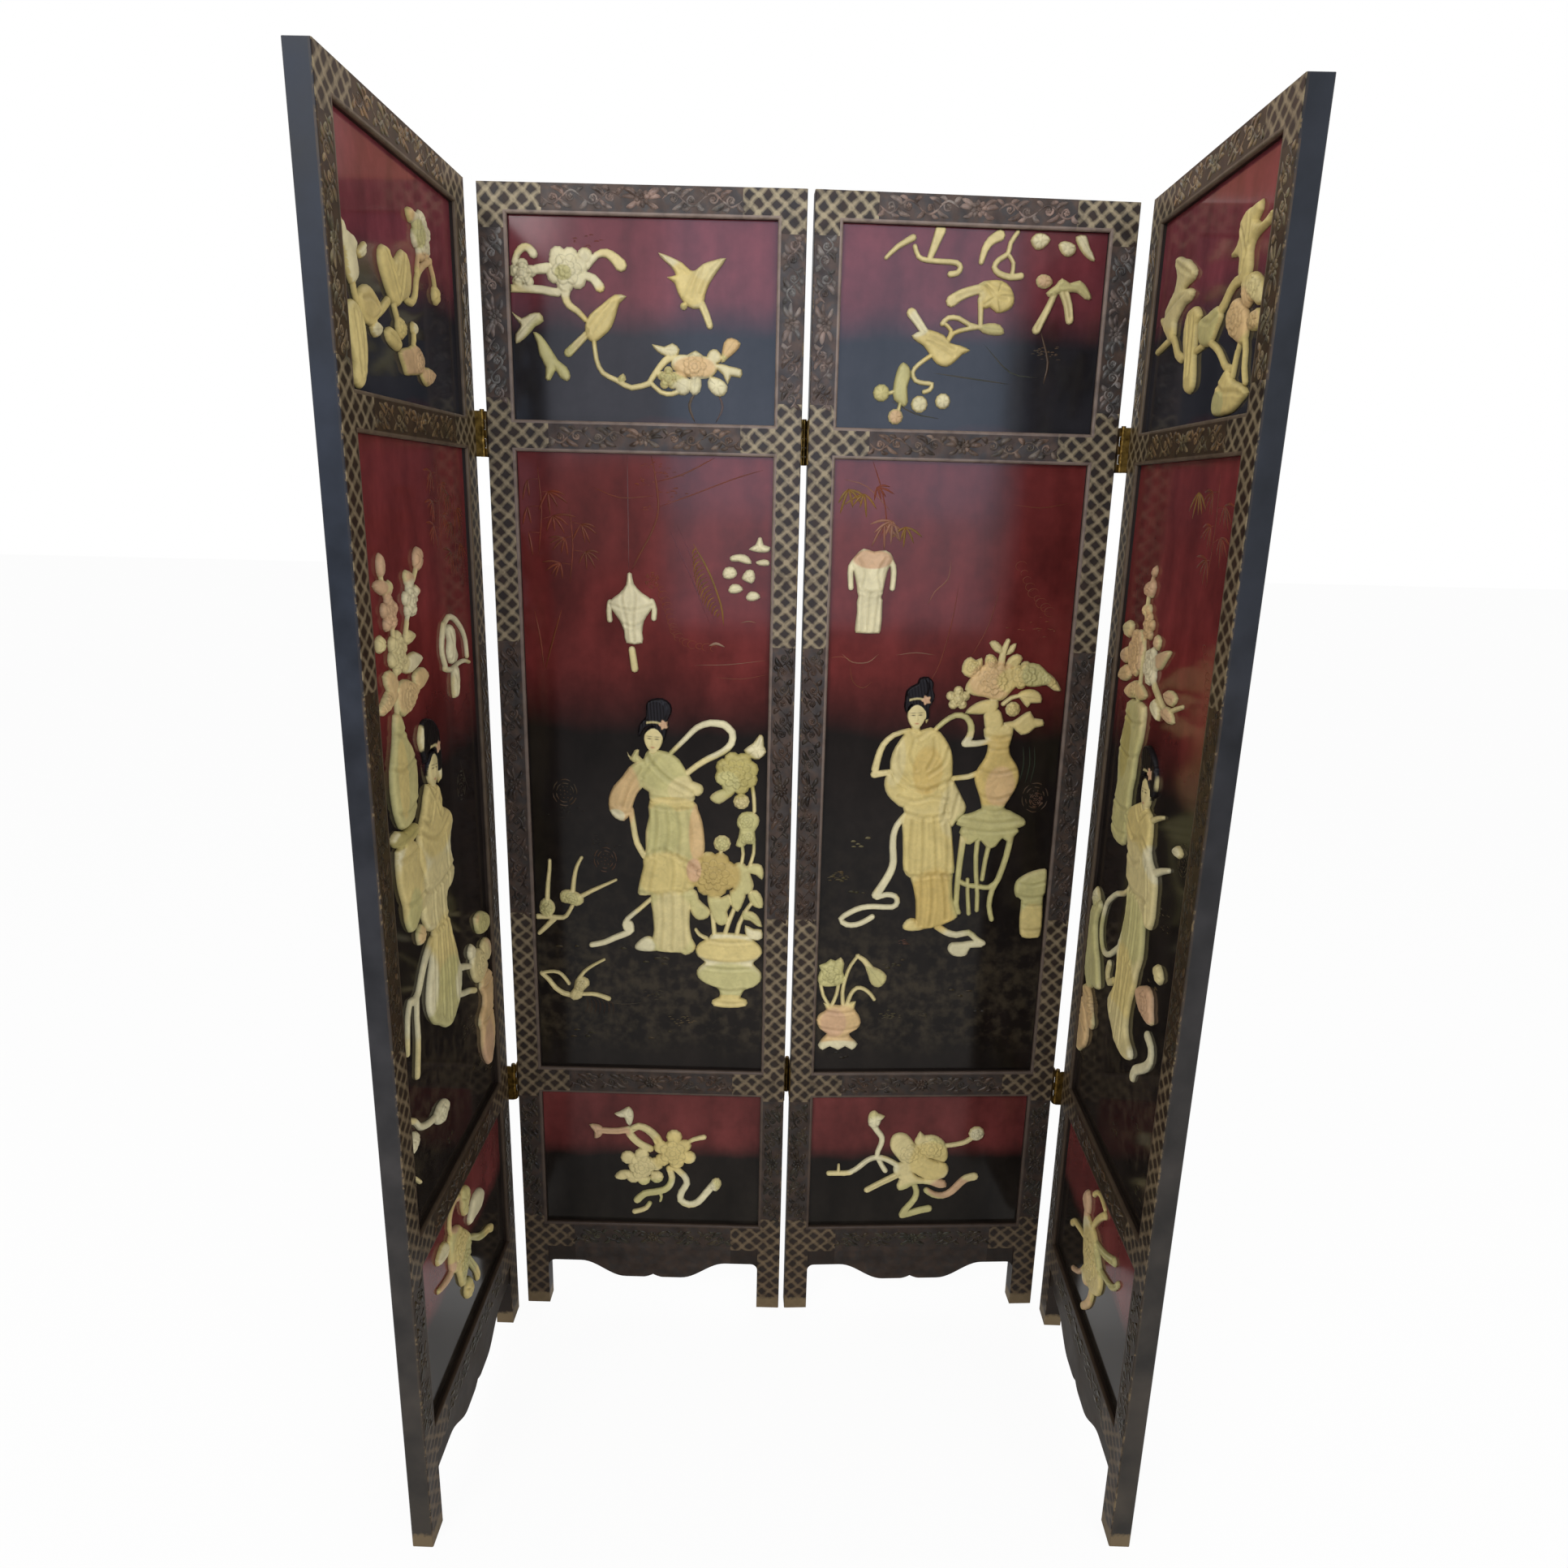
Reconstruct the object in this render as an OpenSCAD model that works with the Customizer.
/* [Leaf] */
// Height of a leaf, from the floor to the top rail
leaf_h = 1830; // [1600:10:2100]
// Width of a leaf
leaf_w = 455; // [450:1:460]
// Thickness of a leaf, front face to back face
leaf_t = 29; // [27:0.5:34]
// Width of a stile, the upright at each side of a leaf
stile_w = 40; // [39:0.5:41]
// Bevel on the long outer edges of a leaf
edge_bevel = 1.2; // [0.5:0.1:2]

/* [Windows] */
// Height of the top rail above the upper window
top_rail_h = 39; // [38:1:60]
// Height of the rail between the upper and middle windows
upper_rail_h = 44; // [40:1:60]
// Height of the rail between the middle and lower windows
lower_rail_h = 48; // [40:1:60]
// Height of the rail under the lower window
bottom_rail_h = 50; // [40:1:60]
// Height of the upper window
upper_window_h = 269; // [265:1:300]
// Height of the lower window
lower_window_h = 259; // [255:1:300]
// Underside of the bottom rail above the floor
bottom_rail_z = 120; // [110:1:140]
// Radius of the rounded bead round the front of each window
bead_r = 3; // [1:0.5:4]

/* [Boards] */
// Thickness of a lacquered board
board_t = 7; // [5:0.5:8]
// Depth of a board behind the front of its frame
board_setback = 9; // [8.5:0.5:10]
// Depth of the groove that holds a board
groove_depth = 7; // [5:0.5:7.5]
// Room left round a board in its groove, for the wood to swell
board_slack = 0.5; // [0.2:0.1:1]

/* [Apron] */
// Thickness of the apron between the feet
apron_t = 18; // [12:1:20]
// Depth of the apron behind the front of its frame
apron_setback = 3; // [2:0.5:5]
// Lower edge of the apron above the floor, near the stiles
apron_end_z = 89; // [80:1:95]
// Lower edge of the apron above the floor, at its two lobes
apron_lobe_z = 57; // [50:1:70]
// Height of the cusp between the two lobes
cusp_h = 6; // [3:1:10]
// Length of the tongue that the apron has on three sides
tongue = 6; // [4:0.5:7]

/* [Joinery] */
// Thickness of a rail's tenon
tenon_t = 9; // [7:0.5:11]
// Length of a rail's tenon into the stile
tenon_l = 26; // [18:1:32]
// Step from the edge of a rail in to its tenon
tenon_step = 8; // [7.8:0.1:10]

/* [Hinges] */
// Height of a hinge
hinge_h = 63; // [50:1:75]
// Thickness of a hinge plate, let half its depth into the stile
plate_t = 2; // [1.5:0.1:2.4]
// Width of the plate on the edge of the stile
plate_w = 24; // [18:1:25]
// Gap between two leaves when they stand flat, in a line
leaf_gap = 8; // [7.6:0.1:10]
// Distance from the face of a leaf out to the hinge axis
axis_stand = 9; // [8.8:0.1:12]
// Outer radius of a knuckle
knuckle_r = 4; // [3.8:0.1:4]
// Radius of a hinge pin
pin_r = 2; // [1.5:0.1:2.2]
// Room between a pin and its bore, on the radius
pin_room = 0.05; // [0.03:0.01:0.1]
// Height left between two knuckles
knuckle_gap = 0.4; // [0.2:0.1:0.8]

/* [Pose] */
// Fold of the left wing from the flat, as the screen stands
left_fold = 89.3; // [60:0.1:120]
// Fold of the two middle leaves from the flat, as the screen stands
centre_fold = 3.5; // [0:0.1:30]
// Fold of the right wing from the flat, as the screen stands
right_fold = 93.9; // [60:0.1:120]

/* [Carvings] */
// Thickness of a carving's blank
blank_t = 4.4; // [3:0.2:5]
// Thickness of the crown left standing on the blank
crown_t = 3.4; // [2:0.2:3.6]
// Width of the step cut round each piece of the crown
crown_step = 1.6; // [1:0.1:2.4]

/* [Hidden] */
$fn = 48;

lacquer = "#2a2320";
red_lacquer = "#6e1f24";
soapstone = "#d8c998";
brass = "#6b5426";

// Heights of the windows, each as its lower and upper edge
lower_window = [bottom_rail_z + bottom_rail_h, bottom_rail_z + bottom_rail_h + lower_window_h];
upper_window = [leaf_h - top_rail_h - upper_window_h, leaf_h - top_rail_h];
middle_window = [lower_window[1] + lower_rail_h, upper_window[0] - upper_rail_h];
WINDOWS = [lower_window, middle_window, upper_window];
// Heights of the rails, each as its lower and upper edge
bottom_rail_at = [bottom_rail_z, lower_window[0]];
lower_rail_at = [lower_window[1], middle_window[0]];
upper_rail_at = [middle_window[1], upper_window[0]];
top_rail_at = [upper_window[1], leaf_h];
RAILS = [bottom_rail_at, lower_rail_at, upper_rail_at, top_rail_at];
// The hinges sit level with the middle of the two inner rails
HINGE_Z = [(lower_rail_at[0] + lower_rail_at[1]) / 2, (upper_rail_at[0] + upper_rail_at[1]) / 2];
tenon_y = (leaf_t - tenon_t) / 2;
knuckles = 5;
pin_head_r = pin_r + 1.3;
pin_head_h = 2.4;
reach = 1;

// ---- where the leaves stand -------------------------------------------------

function turned(p, a) = [p[0] * cos(a) - p[1] * sin(a), p[0] * sin(a) + p[1] * cos(a)];
half = leaf_gap / 2;
// Bearing of each leaf, anticlockwise from the X axis
BEARING = [
    left_fold - centre_fold / 2,
    -centre_fold / 2,
    centre_fold / 2,
    centre_fold / 2 - right_fold
];
// The middle hinge axis stands behind the leaves, the outer two in front of them
middle_axis = [0, leaf_t + axis_stand];
corner_2 = middle_axis + turned([-half - leaf_w, -leaf_t - axis_stand], BEARING[1]);
corner_3 = middle_axis + turned([half, -leaf_t - axis_stand], BEARING[2]);
left_axis = corner_2 + turned([-half, -axis_stand], BEARING[1]);
right_axis = corner_3 + turned([leaf_w + half, -axis_stand], BEARING[2]);
corner_1 = left_axis + turned([-half - leaf_w, axis_stand], BEARING[0]);
corner_4 = right_axis + turned([half, axis_stand], BEARING[3]);
// Left front corner of each leaf, before the screen is centred on its origin
CORNER = [corner_1, corner_2, corner_3, corner_4];

// Plan of a whole leaf, with its four long edges bevelled
function leaf_plan() = [
    [edge_bevel, 0], [leaf_w - edge_bevel, 0], [leaf_w, edge_bevel], [leaf_w, leaf_t - edge_bevel],
    [leaf_w - edge_bevel, leaf_t], [edge_bevel, leaf_t], [0, leaf_t - edge_bevel], [0, edge_bevel]
];
FOOTPRINT = [for (k = [0:3]) for (p = leaf_plan()) CORNER[k] + turned(p, BEARING[k])];
xs = [for (p = FOOTPRINT) p[0]];
ys = [for (p = FOOTPRINT) p[1]];
// The origin is on the floor, under the middle of the whole screen
CENTRE = [(min(xs) + max(xs)) / 2, (min(ys) + max(ys)) / 2];

module at_leaf(k) {
    translate([CORNER[k - 1][0] - CENTRE[0], CORNER[k - 1][1] - CENTRE[1], 0])
        rotate([0, 0, BEARING[k - 1]])
            children();
}

// ---- frame ------------------------------------------------------------------

// A window's opening in plan or in elevation: straight sides that round outwards at the front
module opening_section(low, high) {
    translate([low, -reach])
        square([high - low, leaf_t + 2 * reach]);
    for (side = [0, 1])
        difference() {
            translate([side ? high - reach : low - bead_r, -reach])
                square([bead_r + reach, reach + bead_r]);
            translate([side ? high + bead_r : low - bead_r, bead_r])
                circle(bead_r);
            translate([side ? high : low - bead_r - reach, bead_r])
                square([bead_r + reach, bead_r]);
        }
}

// The opening itself: two profiles crossed, so the bead is mitred at the corners
module window_opening(window) {
    intersection() {
        translate([0, 0, window[0] - 2 * bead_r])
            linear_extrude(window[1] - window[0] + 4 * bead_r)
                opening_section(stile_w, leaf_w - stile_w);
        translate([stile_w - 2 * bead_r, 0, 0])
            rotate([90, 0, 90])
                linear_extrude(leaf_w - 2 * stile_w + 4 * bead_r)
                    rotate(90)
                        mirror([0, 1])
                            opening_section(window[0], window[1]);
    }
}

module board_groove(window) {
    translate([stile_w - groove_depth, board_setback, window[0] - groove_depth])
        cube([
            leaf_w - 2 * stile_w + 2 * groove_depth,
            board_t,
            window[1] - window[0] + 2 * groove_depth
        ]);
}

module windows_and_grooves() {
    for (window = WINDOWS) {
        window_opening(window);
        board_groove(window);
    }
}

// The tenons at both ends of a rail, and the mortises that take them
module tenons(rail) {
    translate([stile_w - tenon_l, tenon_y, rail[0] + tenon_step])
        cube([leaf_w - 2 * stile_w + 2 * tenon_l, tenon_t, rail[1] - rail[0] - 2 * tenon_step]);
}

module rail(rail) {
    color(lacquer)
        difference() {
            union() {
                translate([stile_w, 0, rail[0]])
                    cube([leaf_w - 2 * stile_w, leaf_t, rail[1] - rail[0]]);
                tenons(rail);
            }
            windows_and_grooves();
            if (rail == bottom_rail_at)
                apron_tongue();
        }
}

// The part of the leaf's plan that a stile takes up
module stile_plan(side) {
    intersection() {
        polygon(leaf_plan());
        translate([side == "left" ? 0 : leaf_w - stile_w, 0])
            square([stile_w, leaf_t]);
    }
}

// Shallow recess for each hinge plate on the edge of a stile
module plate_recesses(k, side) {
    for (z = HINGE_Z)
        on_edge(k, side)
            translate([-plate_t / 2, -reach, z - hinge_h / 2])
                cube([plate_t, plate_w + reach, hinge_h]);
}

module stile(k, side) {
    color(lacquer)
        difference() {
            linear_extrude(leaf_h)
                stile_plan(side);
            windows_and_grooves();
            for (rail = RAILS)
                tenons(rail);
            apron_tongue();
            if (has_hinge(k, side))
                plate_recesses(k, side);
        }
}

// ---- boards and apron -------------------------------------------------------

module board(window) {
    hold = groove_depth - board_slack;
    color(red_lacquer)
        translate([stile_w - hold, board_setback, window[0] - hold])
            cube([leaf_w - 2 * stile_w + 2 * hold, board_t, window[1] - window[0] + 2 * hold]);
}

// Height of the apron's lower edge at x from its left end, for its left half
apron_w = leaf_w - 2 * stile_w;
corner_r = 12;
swell_from = 58;
swell_to = 138;
cusp_from = apron_w / 2 - 17;
function apron_edge(x) =
    x < corner_r ? apron_end_z - corner_r + sqrt(max(0, corner_r * corner_r - pow(corner_r - x, 2)))
    : x < swell_from ? apron_end_z
    : x < swell_to ? apron_lobe_z + (apron_end_z - apron_lobe_z)
        * (1 + cos(180 * (x - swell_from) / (swell_to - swell_from))) / 2
    : x < cusp_from ? apron_lobe_z
    : apron_lobe_z + cusp_h * pow((x - cusp_from) / (apron_w / 2 - cusp_from), 1.6);

// Steps along the edge: fine round the corner and the cusp, coarse between
EDGE_AT = concat(
    [for (a = [0:18:90]) corner_r * (1 - cos(a))],
    [for (x = [swell_from:(swell_to - swell_from) / 12:swell_to]) x],
    [for (i = [0:5]) cusp_from + i * (apron_w / 2 - cusp_from) / 5]
);

module apron_outline() {
    last = len(EDGE_AT) - 1;
    polygon(concat(
        [for (x = EDGE_AT) [x, apron_edge(x)]],
        [for (i = [last - 1:-1:0]) [apron_w - EDGE_AT[i], apron_edge(EDGE_AT[i])]],
        [[apron_w, bottom_rail_z], [0, bottom_rail_z]]
    ));
}

// The tongue on the apron's top edge and ends, which is also the groove it seats in
module apron_tongue() {
    translate([stile_w - tongue, apron_setback + apron_t / 3, apron_end_z])
        cube([apron_w + 2 * tongue, apron_t / 3, bottom_rail_z + tongue - apron_end_z]);
}

module apron() {
    color(lacquer)
        union() {
            translate([stile_w, apron_setback + apron_t, 0])
                rotate([90, 0, 0])
                    linear_extrude(apron_t)
                        apron_outline();
            apron_tongue();
        }
}

// ---- hinges -----------------------------------------------------------------

// Leaves 1 and 2, and 3 and 4, fold front to front; leaves 2 and 3 fold back to back
function has_hinge(k, side) = side == "left" ? k > 1 : k < 4;
function hinge_behind(k, side) = (k == 2 && side == "right") || (k == 3 && side == "left");

// Frame of one edge of leaf k: +X out of the edge, +Y from the hinge's face into the wood
module on_edge(k, side) {
    behind = hinge_behind(k, side);
    translate([side == "left" ? 0 : leaf_w, behind ? leaf_t : 0, 0])
        mirror([side == "left" ? 1 : 0, 0, 0])
            mirror([0, behind ? 1 : 0, 0])
                children();
}

knuckle_h = (hinge_h - (knuckles - 1) * knuckle_gap) / knuckles;
function knuckle_z(i) = i * (knuckle_h + knuckle_gap);
bore_r = pin_r + pin_room;

// One plate with its strap and knuckles: turns is 0 for the three-knuckle half, 1 for the other
module hinge_half(turns) {
    clear = knuckle_r + knuckle_gap;
    difference() {
        union() {
            translate([-plate_t / 2, -axis_stand, 0])
                cube([plate_t, axis_stand + plate_w, hinge_h]);
            for (i = [turns:2:knuckles - 1])
                translate([half, -axis_stand, knuckle_z(i)])
                    cylinder(r = knuckle_r, h = knuckle_h);
        }
        // room for the other half's knuckles
        for (i = [1 - turns:2:knuckles - 1])
            translate([half - clear, -axis_stand - clear, knuckle_z(i) - knuckle_gap])
                cube([2 * clear, 2 * clear, knuckle_h + 2 * knuckle_gap]);
        // the bore for the pin
        translate([half, -axis_stand, -reach])
            cylinder(r = bore_r, h = hinge_h + 2 * reach);
    }
}

module hinge_plates(k) {
    color(brass)
        for (side = ["left", "right"])
            if (has_hinge(k, side))
                for (z = HINGE_Z)
                    on_edge(k, side)
                        translate([0, 0, z - hinge_h / 2])
                            hinge_half(pin_side(k, side) ? 0 : 1);
}

// A pin stays in the half that has three knuckles, with its head on the top one
function pin_side(k, side) = k == 2 || (k == 3 && side == "right");

module hinge_pin() {
    cylinder(r = pin_r, h = hinge_h);
    translate([0, 0, hinge_h])
        cylinder(r = pin_head_r, h = pin_head_h);
}

module hinge_pins(k) {
    color(brass)
        for (side = ["left", "right"])
            if (has_hinge(k, side) && pin_side(k, side))
                for (z = HINGE_Z)
                    on_edge(k, side)
                        translate([half, -axis_stand, z - hinge_h / 2])
                            hinge_pin();
}

// ---- carvings ---------------------------------------------------------------
// Each carving is a list of pieces drawn on the face of its board, in millimetres across
// the leaf and above the floor. A piece is one of:
//   ["form", points]                a closed outline, drawn as a smooth curve
//   ["band", from, to, points]      a ribbon, stem or branch that goes from one width to another
//   ["disc", x, z, radius]          a round bud, fruit or flower

steps = 2;
function along(a, b, c, d, t) = 0.5 * (
    2 * b + (c - a) * t + (2 * a - 5 * b + 4 * c - d) * t * t + (3 * b - a - 3 * c + d) * t * t * t
);
function closed_curve(p) = let (n = len(p)) [
    for (i = [0:n - 1]) for (s = [0:steps - 1])
        along(p[(i + n - 1) % n], p[i], p[(i + 1) % n], p[(i + 2) % n], s / steps)
];
function open_curve(p) = let (n = len(p)) concat(
    [for (i = [0:n - 2]) for (s = [0:steps - 1])
        along(p[max(i - 1, 0)], p[i], p[i + 1], p[min(i + 2, n - 1)], s / steps)],
    [p[n - 1]]
);
function unit(v) = v / norm(v);
function heading(p, i) = unit(p[min(i + 1, len(p) - 1)] - p[max(i - 1, 0)]);

module form(points) {
    polygon(closed_curve(points));
}

module band(from, to, points) {
    p = open_curve(points);
    last = len(p) - 1;
    function half_width(i) = (from + (to - from) * i / last) / 2;
    function edge(i, side) = p[i] + side * half_width(i) * [-heading(p, i)[1], heading(p, i)[0]];
    for (i = [0:last - 1])
        polygon([edge(i, 1), edge(i, -1), edge(i + 1, -1), edge(i + 1, 1)]);
    for (i = [0, last])
        translate(p[i])
            circle(half_width(i), $fn = 8);
}

module piece(of) {
    if (of[0] == "form") form(of[1]);
    if (of[0] == "band") band(of[1], of[2], of[3]);
    if (of[0] == "disc") translate([of[1], of[2]]) circle(of[3], $fn = 10);
}

// The pieces in outline, kept inside the window: inset 0 for the blank, more for the crown,
// which stands on the forms and discs only, so stems and ribbons lie lower
module drawn(pieces, window, inset) {
    margin = 0.6 + inset;
    intersection() {
        union()
            for (of = pieces)
                if (inset == 0 || of[0] != "band")
                    offset(delta = -inset)
                        piece(of);
        translate([stile_w + margin, window[0] + margin])
            square([leaf_w - 2 * (stile_w + margin), window[1] - window[0] - 2 * margin]);
    }
}

module carving(pieces, window) {
    color(soapstone)
        translate([0, board_setback, 0])
            rotate([90, 0, 0]) {
                linear_extrude(blank_t)
                    offset(delta = -0.15)
                        offset(delta = 0.35)
                            drawn(pieces, window, 0);
                translate([0, 0, blank_t])
                    linear_extrude(crown_t)
                        offset(delta = 0.3)
                            offset(delta = -0.3)
                                drawn(pieces, window, crown_step);
            }
}

// A flower: round petals about a centre
function flower(x, z, r, petals) = concat(
    [["disc", x, z, 0.52 * r]],
    [for (i = [0:petals - 1])
        ["disc", x + 0.62 * r * cos(360 * i / petals + 18), z + 0.62 * r * sin(360 * i / petals + 18), 0.4 * r]]
);

// A head seen from the front, of plain proportions: an egg, smaller at the chin, on a neck
function head(x, z, w) = [
    ["form", [for (a = [0:30:330])
        [x + w / 2 * cos(a) * (1 + 0.2 * min(0, sin(a))), z + 0.7 * w * sin(a)]]],
    ["band", 0.42 * w, 0.5 * w, [[x, z - 0.55 * w], [x, z - 0.85 * w]]]
];

// ---- carvings of leaf 1, the left wing --------------------------------------

UPPER_1 = concat(flower(290, 1722, 30, 6), [
    ["form", [[50, 1690], [58, 1680], [76, 1678], [86, 1670], [80, 1660], [84, 1646], [80, 1634], [66, 1628],
        [58, 1640], [54, 1656], [46, 1666]]],
    ["form", [[88, 1664], [100, 1672], [112, 1678], [108, 1664], [96, 1658]]],
    ["form", [[80, 1620], [92, 1630], [110, 1635], [128, 1628], [140, 1617], [130, 1606], [114, 1600],
        [96, 1601], [84, 1608]]],
    ["form", [[48, 1606], [66, 1613], [80, 1606], [89, 1594], [93, 1572], [89, 1550], [81, 1532], [70, 1524],
        [58, 1528], [54, 1540], [60, 1552], [50, 1570], [46, 1590]]],
    ["band", 8, 10, [[70, 1640], [74, 1622], [88, 1604], [110, 1598], [132, 1608], [150, 1617], [168, 1628]]],
    ["form", [[150, 1678], [162, 1686], [177, 1684], [190, 1674], [206, 1684], [222, 1693], [236, 1687],
        [241, 1669], [239, 1652], [228, 1640], [210, 1634], [196, 1626], [180, 1628], [170, 1636],
        [158, 1650], [149, 1664]]],
    ["form", [[246, 1742], [262, 1747], [277, 1741], [266, 1732], [254, 1730]]],
    ["form", [[298, 1742], [313, 1735], [317, 1722], [306, 1714], [296, 1726]]],
    ["band", 9, 9, [[320, 1700], [298, 1691], [278, 1680], [266, 1666], [260, 1650], [246, 1639], [228, 1640]]],
    ["band", 7, 6, [[282, 1704], [276, 1692], [270, 1678]]],
    ["band", 6, 6, [[318, 1698], [330, 1684], [334, 1668]]],
    ["disc", 334, 1662, 12],
    ["disc", 202, 1604, 13],
    ["band", 8, 9, [[186, 1626], [194, 1614], [200, 1602]]],
    ["form", [[112, 1592], [124, 1601], [141, 1598], [137, 1588], [122, 1583]]],
    ["form", [[154, 1594], [170, 1601], [187, 1596], [197, 1586], [190, 1577], [174, 1579], [160, 1584]]],
    ["form", [[194, 1576], [210, 1583], [228, 1586], [246, 1592], [263, 1587], [273, 1574], [267, 1561],
        [248, 1557], [230, 1555], [212, 1553], [204, 1562]]],
    ["form", [[262, 1562], [280, 1569], [298, 1569], [312, 1562], [298, 1554], [284, 1547], [270, 1552]]],
    ["band", 6, 8, [[246, 1608], [246, 1598], [242, 1586]]],
    ["disc", 247, 1610, 8]
]);

MIDDLE_1 = concat(flower(120, 1231, 27, 6), flower(104, 1280, 23, 5), flower(172, 1288, 22, 5),
    head(208, 1066, 34), [
    ["band", 5, 8, [[88, 1336], [88, 1322], [94, 1306], [102, 1290], [112, 1262], [112, 1220], [106, 1180],
        [108, 1154]]],
    ["band", 5, 7, [[206, 1336], [198, 1322], [188, 1312], [178, 1300], [162, 1270], [140, 1230]]],
    ["form", [[80, 1342], [88, 1350], [96, 1342], [95, 1328], [87, 1322], [80, 1328]]],
    ["form", [[196, 1344], [208, 1352], [221, 1346], [219, 1330], [206, 1322], [195, 1330]]],
    ["form", [[64, 1314], [78, 1320], [98, 1318], [112, 1312], [104, 1302], [84, 1303]]],
    ["form", [[98, 1308], [110, 1318], [116, 1308], [106, 1298]]],
    ["form", [[158, 1318], [166, 1326], [184, 1320], [184, 1308], [168, 1304]]],
    ["form", [[184, 1300], [196, 1306], [204, 1298], [194, 1290]]],
    ["form", [[60, 1253], [74, 1258], [84, 1248], [76, 1238], [62, 1240]]],
    ["form", [[146, 1250], [162, 1254], [180, 1246], [164, 1237], [148, 1238]]],
    ["form", [[132, 1216], [152, 1223], [176, 1225], [200, 1215], [182, 1206], [158, 1201], [136, 1205]]],
    ["form", [[74, 1210], [96, 1214], [112, 1200], [104, 1186], [84, 1190]]],
    ["form", [[50, 1172], [62, 1181], [78, 1191], [96, 1193], [110, 1182], [90, 1171], [66, 1165]]],
    ["form", [[110, 1192], [134, 1197], [158, 1191], [182, 1180], [168, 1166], [150, 1157], [128, 1152],
        [112, 1160], [104, 1176]]],
    ["form", [[166, 1196], [182, 1202], [204, 1201], [216, 1188], [200, 1179], [184, 1175], [170, 1184]]],
    // vase and stand
    ["form", [[96, 1160], [112, 1158], [121, 1140], [127, 1126], [141, 1112], [151, 1090], [151, 1060],
        [143, 1036], [130, 1020], [106, 1015], [88, 1021], [76, 1043], [71, 1070], [73, 1096], [83, 1118],
        [90, 1138]]],
    ["form", [[58, 1016], [76, 1021], [100, 1013], [128, 1015], [146, 1008], [140, 997], [112, 993],
        [84, 997], [64, 1005]]],
    ["form", [[72, 996], [98, 998], [126, 994], [142, 980], [137, 962], [146, 942], [152, 922], [162, 908],
        [150, 895], [130, 891], [112, 879], [96, 881], [85, 900], [83, 920], [75, 940], [70, 962]]],
    ["form", [[118, 870], [132, 877], [145, 866], [138, 850], [122, 852]]],
    // hanging ornament
    ["band", 8, 8, [[290, 1244], [310, 1253], [332, 1250], [352, 1240], [368, 1228], [379, 1212], [382, 1190]]],
    ["band", 12, 9, [[290, 1244], [280, 1226], [278, 1208], [288, 1190]]],
    ["form", [[300, 1240], [316, 1243], [329, 1230], [326, 1212], [334, 1200], [326, 1189], [306, 1191],
        [297, 1208], [303, 1222]]],
    ["band", 8, 5, [[284, 1187], [310, 1181], [340, 1185], [370, 1185], [390, 1180]]],
    ["form", [[316, 1182], [332, 1184], [337, 1164], [329, 1143], [314, 1141], [311, 1160]]],
    // figure
    ["form", [[172, 1120], [184, 1133], [204, 1134], [222, 1124], [236, 1106], [241, 1082], [240, 1056],
        [234, 1040], [228, 1058], [222, 1082], [208, 1094], [190, 1090], [184, 1078], [178, 1094],
        [170, 1108]]],
    ["form", [[186, 1050], [206, 1042], [222, 1042], [232, 1024], [236, 1005], [249, 1001], [263, 992],
        [271, 976], [259, 960], [256, 940], [263, 920], [263, 900], [250, 888], [232, 884], [228, 868],
        [231, 850], [220, 841], [196, 845], [174, 850], [157, 857], [145, 871], [138, 890], [146, 906],
        [157, 920], [150, 940], [140, 960], [140, 984], [152, 1004], [168, 1022]]],
    ["form", [[176, 856], [206, 852], [230, 850], [241, 824], [253, 798], [263, 770], [271, 744],
        [262, 716], [244, 700], [220, 689], [200, 693], [180, 707], [158, 720], [142, 740], [136, 762],
        [144, 788], [158, 812], [167, 832]]],
    ["band", 15, 8, [[166, 838], [142, 824], [124, 807], [108, 790], [92, 787], [80, 791], [69, 776],
        [64, 752], [60, 730]]],
    ["band", 10, 11, [[104, 790], [99, 762], [98, 732], [92, 704], [87, 684]]],
    ["band", 12, 8, [[252, 762], [276, 749], [296, 741], [316, 732]]],
    ["band", 9, 9, [[252, 716], [286, 703], [310, 695], [334, 684]]],
    // flowering plant in its pot
    ["form", [[348, 797], [372, 798], [394, 789], [411, 778], [413, 762], [396, 755], [376, 759],
        [358, 768], [350, 782]]],
    ["form", [[312, 757], [326, 764], [340, 750], [328, 739], [315, 744]]],
    ["form", [[320, 740], [344, 746], [366, 739], [384, 723], [393, 700], [376, 688], [352, 688],
        [334, 699], [321, 718]]],
    ["form", [[370, 742], [392, 746], [410, 735], [413, 714], [398, 705], [380, 714]]],
    ["form", [[356, 676], [366, 690], [400, 690], [413, 672], [412, 640], [407, 620], [412, 600],
        [411, 570], [400, 548], [384, 531], [370, 540], [356, 560], [350, 584], [352, 606], [344, 620],
        [352, 634], [366, 641], [370, 656]]],
    // scrolls on the ground
    ["band", 8, 10, [[50, 640], [68, 628], [80, 613], [96, 603], [116, 595], [140, 589]]],
    ["form", [[132, 592], [150, 600], [172, 597], [189, 584], [180, 572], [164, 565], [146, 573],
        [136, 582]]],
    ["form", [[44, 610], [60, 618], [74, 606], [66, 594], [48, 592]]],
    ["band", 6, 5, [[46, 560], [58, 549], [70, 536]]]
]);

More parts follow.
